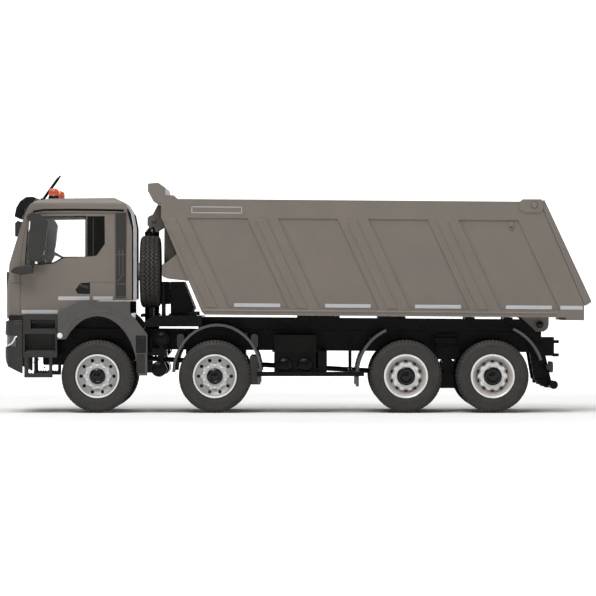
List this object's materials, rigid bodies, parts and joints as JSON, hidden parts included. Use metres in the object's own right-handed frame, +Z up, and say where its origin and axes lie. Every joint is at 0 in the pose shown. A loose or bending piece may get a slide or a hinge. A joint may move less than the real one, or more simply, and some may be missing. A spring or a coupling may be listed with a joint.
{
  "type": "scale model four-axle rear tipper truck",
  "caption": "Die-cast scale model of an 8x4 rear tipper with raising bed, top-hung tailgate, telescopic ram, steering and rolling wheels.",
  "frame": {"origin": "on the ground under the middle of the model's box", "axes": "+X forward, +Y to the left, +Z up"},
  "size_m": [0.1821, 0.0564, 0.0743],
  "materials": {
    "body_paint": "satin brown-grey paint",
    "frame_black": "gloss black paint, slightly pebbled",
    "dark_plastic": "moulded, satin",
    "visor_black": "gloss",
    "cab_trim": "moulded, matt",
    "window_glass": "clear",
    "lamp_glass": "clear lens",
    "beacon_amber": "translucent amber",
    "tail_red": "red lens in a black housing",
    "tyre_rubber": "matt",
    "rim_silver": "satin silver",
    "ram_steel": "polished",
    "steel_dark": "blackened"
  },
  "bodies": {
    "chassis": {"chassis_frame": "frame_black", "tipper_subframe": "frame_black", "service_deck": "frame_black", "ram_mount": "frame_black", "engine_gearbox": "frame_black", "propshafts": "frame_black", "front_axles": "frame_black", "rear_axles": "frame_black", "bogie_springs": "frame_black", "cab_shell": "body_paint", "cab_windows": "window_glass", "cab_interior": "cab_trim", "steering_wheel": "cab_trim", "front_grille": "dark_plastic", "front_bumper": "dark_plastic", "headlights": "lamp_glass", "entry_steps": "dark_plastic", "cab_fenders": "dark_plastic", "sun_visor": "visor_black", "side_air_panels": "dark_plastic", "mirrors": "dark_plastic", "beacons": "beacon_amber", "roof_antenna": "dark_plastic", "air_tanks": "frame_black", "battery_box": "frame_black", "fuel_tank": "frame_black", "side_bars": "frame_black", "mudguards": "dark_plastic", "tow_coupling": "frame_black", "tail_lights": "tail_red", "underride_guard": "frame_black", "spare_wheel_carrier": "frame_black", "spare_tyre": "tyre_rubber", "spare_rim": "rim_silver"},
    "tipper_bed": {"tipper_bed": "body_paint", "ram_head_bracket": "body_paint"},
    "tailgate": {"tailgate": "body_paint"},
    "ram_barrel": {"ram_barrel": "frame_black"},
    "ram_stage_1": {"ram_stage_1": "ram_steel"},
    "ram_stage_2": {"ram_stage_2": "ram_steel"},
    "ram_rod": {"ram_rod": "ram_steel"},
    "track_rod_1": {"track_rod_1": "steel_dark"},
    "track_rod_2": {"track_rod_2": "steel_dark"},
    "rear_wheels_1": {"rear_tyres_1": "tyre_rubber", "rear_rims_1": "rim_silver"},
    "rear_wheels_2": {"rear_tyres_2": "tyre_rubber", "rear_rims_2": "rim_silver"},
    "knuckle_1_left": {"knuckle_1_left": "steel_dark"},
    "wheel_1_left": {"tyre_1_left": "tyre_rubber", "rim_1_left": "rim_silver"},
    "knuckle_1_right": {"knuckle_1_right": "steel_dark"},
    "wheel_1_right": {"tyre_1_right": "tyre_rubber", "rim_1_right": "rim_silver"},
    "knuckle_2_left": {"knuckle_2_left": "steel_dark"},
    "wheel_2_left": {"tyre_2_left": "tyre_rubber", "rim_2_left": "rim_silver"},
    "knuckle_2_right": {"knuckle_2_right": "steel_dark"},
    "wheel_2_right": {"tyre_2_right": "tyre_rubber", "rim_2_right": "rim_silver"}
  },
  "joints": [
    {"name": "bed_tilt", "type": "hinge", "parent": "chassis", "child": "tipper_bed", "pos_m": [-0.0758, 0, 0.0271], "axis": [0, -1, 0], "range_deg": [0, 45]},
    {"name": "tailgate_swing", "type": "hinge", "parent": "tipper_bed", "child": "tailgate", "pos_m": [-0.07329, 0, 0.06427], "axis": [0, 1, 0], "range_deg": [0, 80]},
    {"name": "ram_swing", "type": "hinge", "parent": "chassis", "child": "ram_barrel", "pos_m": [0.0461, 0, 0.02], "axis": [0, -1, 0], "range_deg": [0, 26.89]},
    {"name": "ram_slide_1", "type": "slide", "parent": "ram_barrel", "child": "ram_stage_1", "axis": [0, 0, 1], "range_m": [0, 0.0302]},
    {"name": "ram_slide_2", "type": "slide", "parent": "ram_stage_1", "child": "ram_stage_2", "axis": [0, 0, 1], "range_m": [0, 0.0302]},
    {"name": "ram_slide_3", "type": "slide", "parent": "ram_stage_2", "child": "ram_rod", "axis": [0, 0, 1], "range_m": [0, 0.0302]},
    {"name": "steer_1_left", "type": "hinge", "parent": "chassis", "child": "knuckle_1_left", "pos_m": [0.0622, 0.0196, 0.0112], "axis": [0, 0, 1], "range_deg": [-18, 18]},
    {"name": "steer_1_right", "type": "hinge", "parent": "chassis", "child": "knuckle_1_right", "pos_m": [0.0622, -0.0196, 0.0112], "axis": [0, 0, 1], "range_deg": [-18.01, 18.01]},
    {"name": "track_rod_slide_1", "type": "slide", "parent": "chassis", "child": "track_rod_1", "axis": [0, 1, 0], "range_m": [-0.00101, 0.00101]},
    {"name": "steer_2_left", "type": "hinge", "parent": "chassis", "child": "knuckle_2_left", "pos_m": [0.0258, 0.0196, 0.0112], "axis": [0, 0, 1], "range_deg": [-10.81, 10.81]},
    {"name": "steer_2_right", "type": "hinge", "parent": "chassis", "child": "knuckle_2_right", "pos_m": [0.0258, -0.0196, 0.0112], "axis": [0, 0, 1], "range_deg": [-10.81, 10.81]},
    {"name": "track_rod_slide_2", "type": "slide", "parent": "chassis", "child": "track_rod_2", "axis": [0, 1, 0], "range_m": [-0.0006, 0.0006]},
    {"name": "spin_1_left", "type": "hinge", "parent": "knuckle_1_left", "child": "wheel_1_left", "pos_m": [0.0622, 0.0218, 0.0112], "axis": [0, 1, 0], "continuous": true},
    {"name": "spin_1_right", "type": "hinge", "parent": "knuckle_1_right", "child": "wheel_1_right", "pos_m": [0.0622, -0.0218, 0.0112], "axis": [0, 1, 0], "continuous": true},
    {"name": "spin_2_left", "type": "hinge", "parent": "knuckle_2_left", "child": "wheel_2_left", "pos_m": [0.0258, 0.0218, 0.0112], "axis": [0, 1, 0], "continuous": true},
    {"name": "spin_2_right", "type": "hinge", "parent": "knuckle_2_right", "child": "wheel_2_right", "pos_m": [0.0258, -0.0218, 0.0112], "axis": [0, 1, 0], "continuous": true},
    {"name": "spin_rear_1", "type": "hinge", "parent": "chassis", "child": "rear_wheels_1", "pos_m": [-0.0335, 0, 0.0112], "axis": [0, 1, 0], "continuous": true},
    {"name": "spin_rear_2", "type": "hinge", "parent": "chassis", "child": "rear_wheels_2", "pos_m": [-0.0604, 0, 0.0112], "axis": [0, 1, 0], "continuous": true}
  ],
  "couplings": [
    {"joint": "ram_swing", "follows": "bed_tilt", "ratio": 0.59724},
    {"joint": "ram_slide_1", "follows": "bed_tilt", "m_per_rad": 0.038457},
    {"joint": "ram_slide_2", "follows": "bed_tilt", "m_per_rad": 0.038457},
    {"joint": "ram_slide_3", "follows": "bed_tilt", "m_per_rad": 0.038457},
    {"joint": "steer_1_right", "follows": "steer_1_left", "ratio": 1},
    {"joint": "track_rod_slide_1", "follows": "steer_1_left", "m_per_rad": -0.0032},
    {"joint": "steer_2_left", "follows": "steer_1_left", "ratio": 0.6},
    {"joint": "steer_2_right", "follows": "steer_1_left", "ratio": 0.6},
    {"joint": "track_rod_slide_2", "follows": "steer_1_left", "m_per_rad": -0.00192}
  ]
}
